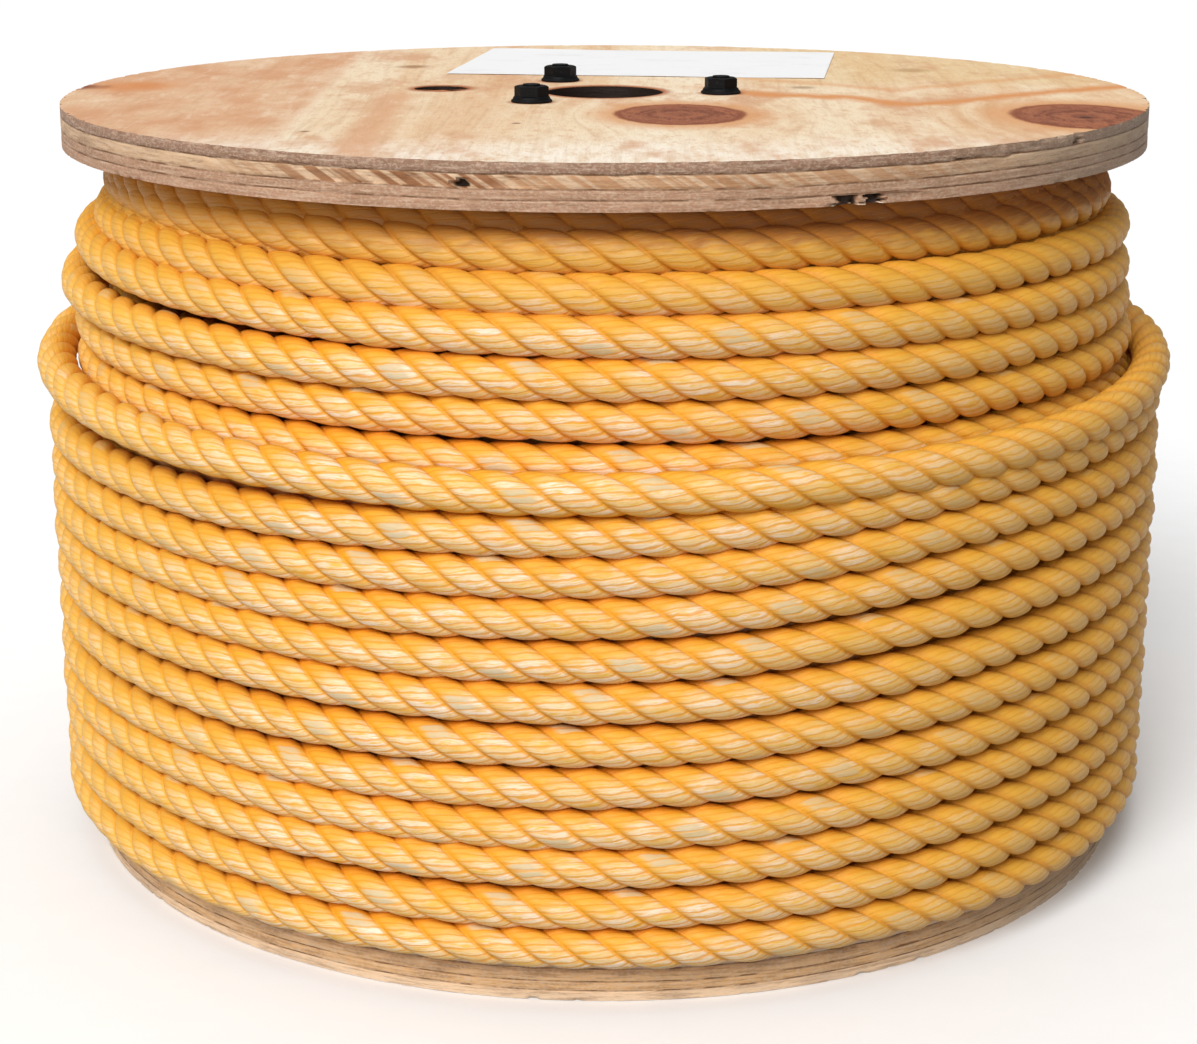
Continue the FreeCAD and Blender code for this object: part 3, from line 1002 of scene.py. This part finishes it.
def face_colour(s, knots, stains):
    """Softwood veneer with its grain along Y, flowing round the knots."""
    point = s.object_point()
    x, y, _ = s.split(point)
    bend = s.flecks(point, (5, 1.6, 0), 2.0, 0.5)
    grain_x = s.plus(x, s.times(bend, 0.05))
    distances = [knot_distance(s, x, y, knot) for knot in knots]
    for distance, knot in zip(distances, knots):
        pull = s.falling(distance, 0.6, 2.6)
        side = s.times(s.minus(x, knot[0][0]), -0.55)
        grain_x = s.plus(grain_x, s.times(pull, side))
    bands = s.strands(s.times(grain_x, 30.0), s.times(y, 1.5), 0.3, 2.0, 0.55)
    lines = s.strands(s.times(grain_x, 300.0), s.times(y, 12.0), 0.1, 3.0, 0.6)
    fibres = s.strands(s.times(x, 1500.0), s.times(y, 120.0), 0.7, 3.0, 0.65)
    blotches = s.flecks(point, (26, 12, 0), 4.0, 0.65)
    mottle = s.flecks(point, (170, 45, 0), 4.0, 0.7)
    speckles = s.flecks(point, (230, 120, 0), 4.0, 0.75)

    s.colour = s.ramp(bands, VENEER_TONES)
    lay_veneer_zones(s, x, y, blotches, mottle, speckles)
    s.tint((0.62, 0.31, 0.16), blotches, 0.50, 0.66, 0.70)
    s.tint((0.60, 0.33, 0.16), mottle, 0.48, 0.66, 0.30)
    s.tint((0.90, 0.78, 0.60), mottle, 0.46, 0.32, 0.30)
    s.tint((0.54, 0.30, 0.14), lines, 0.48, 0.72, 0.30)
    s.tint((0.50, 0.30, 0.16), fibres, 0.50, 0.75, 0.25)
    for tip, spread, half, strength in GROWTH_BANDS if knots else []:
        band = growth_band(s, x, y, tip, spread, half, blotches)
        band = s.times(band, s.remap(x, 0.02, 0.06))
        s.lay(s.times(band, strength), (0.66, 0.27, 0.085))
    for distance in distances:
        lay_knot(s, y, distance, mottle)
    for centre, size, soft, strength, tint in stains:
        mask = spot_mask(s, x, y, centre, size, soft, mottle)
        s.lay(s.times(mask, strength), tint)
    return s.colour, lines, fibres


def lay_veneer_zones(s, x, y, blotches, mottle, speckles):
    """Heartwood to the left, a paler front painted as a highlight, a darker streak and a yellower
    back.
    """
    edge = s.plus(x, s.times(blotches, 0.012))
    heart = s.falling(edge, -0.106, -0.097)
    rosy = s.times(heart, s.remap(blotches, 0.34, 0.62, 0.45, 1.0))
    s.lay(rosy, (0.68, 0.37, 0.205))
    # Painted highlight: the front of the face is painted near white, as glare
    front_highlight = s.times(s.remap(y, -0.12, -0.19), s.remap(mottle, 0.35, 0.60, 0.75, 0.35))
    s.lay(front_highlight, (0.95, 0.89, 0.80))
    s.tint((0.66, 0.36, 0.18), speckles, 0.54, 0.66, 0.55)
    streak = s.within(edge, -0.085, -0.076, -0.072, -0.060)
    streak = s.times(streak, s.falling(y, -0.02, 0.02))
    s.lay(s.times(streak, 0.80), (0.68, 0.37, 0.20))
    back = s.times(s.remap(x, 0.03, 0.10), s.remap(y, 0.0, 0.05))
    s.lay(s.times(back, 0.5), (0.72, 0.50, 0.22))


def lay_knot(s, y, distance, mottle):
    """A dark knot with a darker rim, and the warm wood round it."""
    wavy = s.plus(distance, s.centred(mottle, 0.16))
    place = s.join(s.times(wavy, 5.0), s.times(mottle, 5.0), s.times(y, 35.0))
    rings = s.noise(place, 1.0, 4.0, 0.7)
    inside = s.mix(s.remap(rings, 0.38, 0.64), (0.19, 0.050, 0.021), (0.36, 0.12, 0.052))
    s.lay(s.remap(wavy, 1.02, 1.75, 0.75, 0.0), (0.66, 0.29, 0.10))
    s.lay(s.falling(wavy, 0.95, 1.05), inside)
    rim = s.within(wavy, 0.88, 0.98, 0.98, 1.10)
    s.lay(s.times(rim, 0.8), (0.26, 0.065, 0.02))


def edge_colour(s, high, stops, slanting):
    """The plies and glue lines round a board's edge. The second ply of a slanting edge shows
    slanted streaks of its grain, and is torn near the front."""
    point = s.object_point()
    x, y, z = s.split(point)
    waver = s.flecks(point, (16, 16, 0), 2.0)
    ripple = s.flecks(point, (90, 90, 0), 3.0, 0.7)
    grain = s.flecks(point, (70, 70, 1000), 4.0, 0.7)
    fuzz = s.flecks(point, (700, 700, 1200), 3.0, 0.7)
    patch = s.flecks(point, (30, 30, 60), 3.0, 0.6)
    part = s.math("DIVIDE", s.minus(high, z), BOARD_THICKNESS)
    part = s.plus(part, s.centred(waver, 0.07))
    part = s.plus(part, s.centred(ripple, 0.05))
    s.colour = s.ramp(part, stops)
    s.tint((0.34, 0.20, 0.12), patch, 0.45, 0.70, 0.45)
    s.tint((0.26, 0.14, 0.075), grain, 0.46, 0.62, 0.50)
    s.tint((0.74, 0.56, 0.40), grain, 0.46, 0.34, 0.45)
    s.tint((0.70, 0.54, 0.40), fuzz, 0.45, 0.62, 0.35)

    slanted = s.plus(s.times(x, 210.0), s.times(z, 330.0))
    streaks = s.strands(slanted, s.times(y, 30.0), 0.0, 2.0, 0.5)
    second_ply = s.within(part, 0.25, 0.27, 0.53, 0.55)
    near_front = s.remap(y, -0.20, -0.14, 1.0, 0.15)
    slant = s.times(s.times(second_ply, near_front), s.remap(streaks, 0.42, 0.56, 0.0, 0.55))
    s.lay(s.times(slant, slanting), (0.40, 0.155, 0.045))
    torn = s.within(x, -0.115, -0.090, -0.037, -0.024)
    torn = s.times(s.times(torn, slant), slanting)
    s.lay(s.times(torn, 1.4, clamp=True), (0.24, 0.085, 0.028))
    # Painted shade: the edge is darker towards the right side
    s.tint((0.30, 0.23, 0.165), x, 0.09, 0.17, 0.5)
    for bound in GLUE_LINES:
        off = s.absolute(s.minus(part, bound))
        broken = s.remap(ripple, 0.35, 0.60, 0.25, 1.0)
        line = s.times(s.falling(off, 0.006, 0.030), broken)
        s.lay(s.times(line, 0.9), (0.13, 0.055, 0.020))
    # Painted shade: near black in the rim's deep pockets and on the holes' walls
    s.lay(recess_shade_mask(s, s.length(x, y), part), (0.012, 0.005, 0.003))
    return s.colour, grain, fuzz


def recess_shade_mask(s, radius, part):
    """Deep pockets in the rim and the walls of the drilled holes, painted dark as shade."""
    deep = s.falling(radius, BOARD_RADIUS - 2.6 * MM, BOARD_RADIUS - 0.8 * MM)
    pocket = s.times(deep, s.math("GREATER_THAN", radius, BOARD_RADIUS - 8 * MM))
    pocket = s.times(pocket, s.remap(part, 0.10, 0.20))
    bored = s.math("LESS_THAN", radius, BOARD_RADIUS / 2)
    return s.math("MAXIMUM", s.times(pocket, 0.95), s.times(bored, 0.98))


def plywood_material(name, high, knots, stains, stops):
    s = Shader(name)
    face, lines, fibres = face_colour(s, knots, stains)
    edge, grain, specks = edge_colour(s, high, stops, 1.0 if knots else 0.0)
    # The face's veneer is only on the board's outer 3 percent, and not inside its holes
    flatness = s.absolute(s.split(s.node("NewGeometry", output=3))[2])
    z = s.split(s.object_point())[2]
    from_middle = s.absolute(s.minus(z, high - BOARD_THICKNESS / 2))
    outside = s.math("GREATER_THAN", from_middle, 0.47 * BOARD_THICKNESS)
    on_face = s.times(s.remap(flatness, 0.6, 0.8), outside)
    edge_relief = s.plus(s.times(grain, 0.7), s.times(specks, 0.6))
    face_relief = s.plus(s.times(lines, 0.25), s.times(fibres, 0.25))
    on_edge = s.minus(1.0, on_face)
    relief = s.plus(s.times(edge_relief, on_edge), s.times(face_relief, on_face))
    s.bsdf.inputs["Specular IOR Level"].default_value = 0.25
    roughness = s.remap(fibres, 0.3, 0.7, 0.58, 0.7)
    normal = s.bump(relief, 0.5 * MM, 0.7)
    return s.finish(Base_Color=s.mix(on_face, edge, face), Roughness=roughness, Normal=normal)


# The plies' colours down each board's edge
UPPER_EDGE = [
    (0.0, (0.34, 0.195, 0.13)), (0.24, (0.29, 0.165, 0.11)), (0.26, (0.72, 0.49, 0.30)),
    (0.54, (0.66, 0.42, 0.25)), (0.56, (0.45, 0.25, 0.15)), (0.78, (0.50, 0.28, 0.17)),
    (1.0, (0.48, 0.26, 0.16)),
]
# The lower board's edge is lighter than the upper's, partly as painted light standing in for light
# bounced up from the floor
LOWER_EDGE = [
    (0.0, (0.94, 0.72, 0.50)), (0.22, (0.90, 0.64, 0.42)), (0.27, (0.70, 0.39, 0.17)),
    (0.50, (0.80, 0.47, 0.22)), (0.72, (0.68, 0.38, 0.16)), (0.79, (0.88, 0.58, 0.34)),
    (1.0, (0.92, 0.64, 0.41)),
]


def nut_material():
    s = Shader("black_steel")
    wear = s.noise(s.object_point(), 700.0, 4.0, 0.6)
    colour = s.mix(s.remap(wear, 0.5, 0.8), (0.003, 0.003, 0.0035), (0.012, 0.012, 0.013))
    s.bsdf.inputs["Specular IOR Level"].default_value = 0.12
    return s.finish(Base_Color=colour, Roughness=s.remap(wear, 0.3, 0.7, 0.5, 0.65))


def staple_material():
    s = Shader("zinc_steel")
    wear = s.noise(s.object_point(), 400.0, 4.0, 0.6)
    colour = s.mix(wear, (0.30, 0.30, 0.29), (0.50, 0.50, 0.49))
    return s.finish(Base_Color=colour, Metallic=1.0, Roughness=s.remap(wear, 0.3, 0.7, 0.35, 0.55))


def label_material():
    s = Shader("label_paper")
    point = s.object_point()
    smudge = s.flecks(point, (30, 45, 0), 4.0, 0.7)
    fibre = s.noise(point, 1500.0, 2.0)
    colour = s.mix(s.remap(smudge, 0.5, 0.8, 0.0, 0.6), (0.88, 0.88, 0.88), (0.68, 0.67, 0.70))
    return s.finish(Base_Color=colour, Roughness=0.55, Normal=s.bump(fibre, 0.05 * MM, 0.4))


def fibrous_material(name, scales, dark, light, roughness, depth=0.0, strength=0.0):
    """Flecked between two colours, with a little relief."""
    s = Shader(name)
    fibres = s.flecks(s.object_point(), scales)
    inputs = {"Base_Color": s.mix(fibres, dark, light), "Roughness": roughness}
    if depth:
        inputs["Normal"] = s.bump(fibres, depth, strength)
    return s.finish(**inputs)


def dress_cad_nodes():
    """Better materials for the CAD nodes that stay as they are."""
    wanted = {"tie_bolt": "nut", "core_tube": "core", "start_staple": "staple",
              "rope_layer": "hidden_rope", "end_tape": "tape"}
    for piece in list(bpy.data.objects):
        for start, material in wanted.items():
            if piece.type == "MESH" and piece.name.startswith(start):
                piece.data.materials.clear()
                piece.data.materials.append(MATERIALS[material])


# ---- stage and light

def make_stage():
    floor = bpy.data.meshes.new("floor")
    half = 12.0
    corners = [(-half, -half, 0), (half, -half, 0), (half, half, 0), (-half, half, 0)]
    floor.from_pydata(corners, [], [(0, 1, 2, 3)])
    stage = put("floor", floor)
    stage.location.z = -0.2 * MM
    stage.visible_diffuse = False
    s = Shader("floor_paper")
    grain = s.noise(s.object_point(), 60.0)
    colour = s.mix(grain, (0.90, 0.90, 0.90), (0.93, 0.93, 0.93))
    floor.materials.append(s.finish(Base_Color=colour, Roughness=0.9))


def soft_sun(name, azimuth, elevation, spread, power):
    """A distant soft light, from an azimuth and elevation in degrees."""
    data = bpy.data.lights.new(name, "SUN")
    data.angle = math.radians(spread)
    data.energy = power
    lamp = put(name, data)
    a, e = math.radians(azimuth), math.radians(elevation)
    from_where = Vector((math.cos(a) * math.cos(e), math.sin(a) * math.cos(e), math.sin(e)))
    lamp.rotation_euler = from_where.to_track_quat("Z", "Y").to_euler()
    lamp.location = from_where * 3


def make_lights():
    soft_sun("key", 247, 41, 32, 2.8)
    soft_sun("fill", 256, 4, 24, 0.62)
    soft_sun("top", 100, 76, 60, 0.8)
    world = bpy.data.worlds.new("studio")
    world.use_nodes = True
    world.node_tree.nodes["Background"].inputs[0].default_value = (1, 1, 1, 1)
    world.node_tree.nodes["Background"].inputs[1].default_value = 0.30
    bpy.context.scene.world = world
    bpy.context.scene.view_settings.view_transform = "Standard"


# ---- build

MATERIALS = {
    "rope": rope_material(),
    "hidden_rope": fibrous_material("rope_inner", (220, 220, 500), (0.75, 0.32, 0.03),
                                    (0.90, 0.55, 0.15), 0.5, 0.5 * MM, 0.6),
    "upper_board": plywood_material("plywood_upper", REEL_TOP, KNOTS, UPPER_STAINS, UPPER_EDGE),
    "lower_board": plywood_material("plywood_lower", base_high[2], [], [], LOWER_EDGE),
    "nut": nut_material(),
    "staple": staple_material(),
    "label": label_material(),
    "core": fibrous_material("core_fibreboard", (300, 300, 60), (0.30, 0.19, 0.10),
                             (0.42, 0.28, 0.16), 0.8),
    "tape": fibrous_material("tape_film", (200, 200, 900), (0.80, 0.78, 0.70),
                             (0.88, 0.86, 0.80), 0.3, 0.1 * MM, 0.5),
}
make_camera()
make_rope()
make_board("upper_board", "top_flange", board_low[2], board_high[2], 3.0, UPPER_DAMAGE,
           start_hole=True)
make_board("lower_board", "bottom_flange", base_low[2], base_high[2], 9.0, LOWER_DAMAGE,
           pockets=True)
for letter, azimuth in zip("abc", BOLT_AZIMUTHS):
    place = round_place(BOLT_CIRCLE, azimuth)
    make_nut("hex_nut_" + letter, "flange_nut_" + letter, place, NUT_TURNS[letter])
make_label()
dress_cad_nodes()
make_stage()
make_lights()
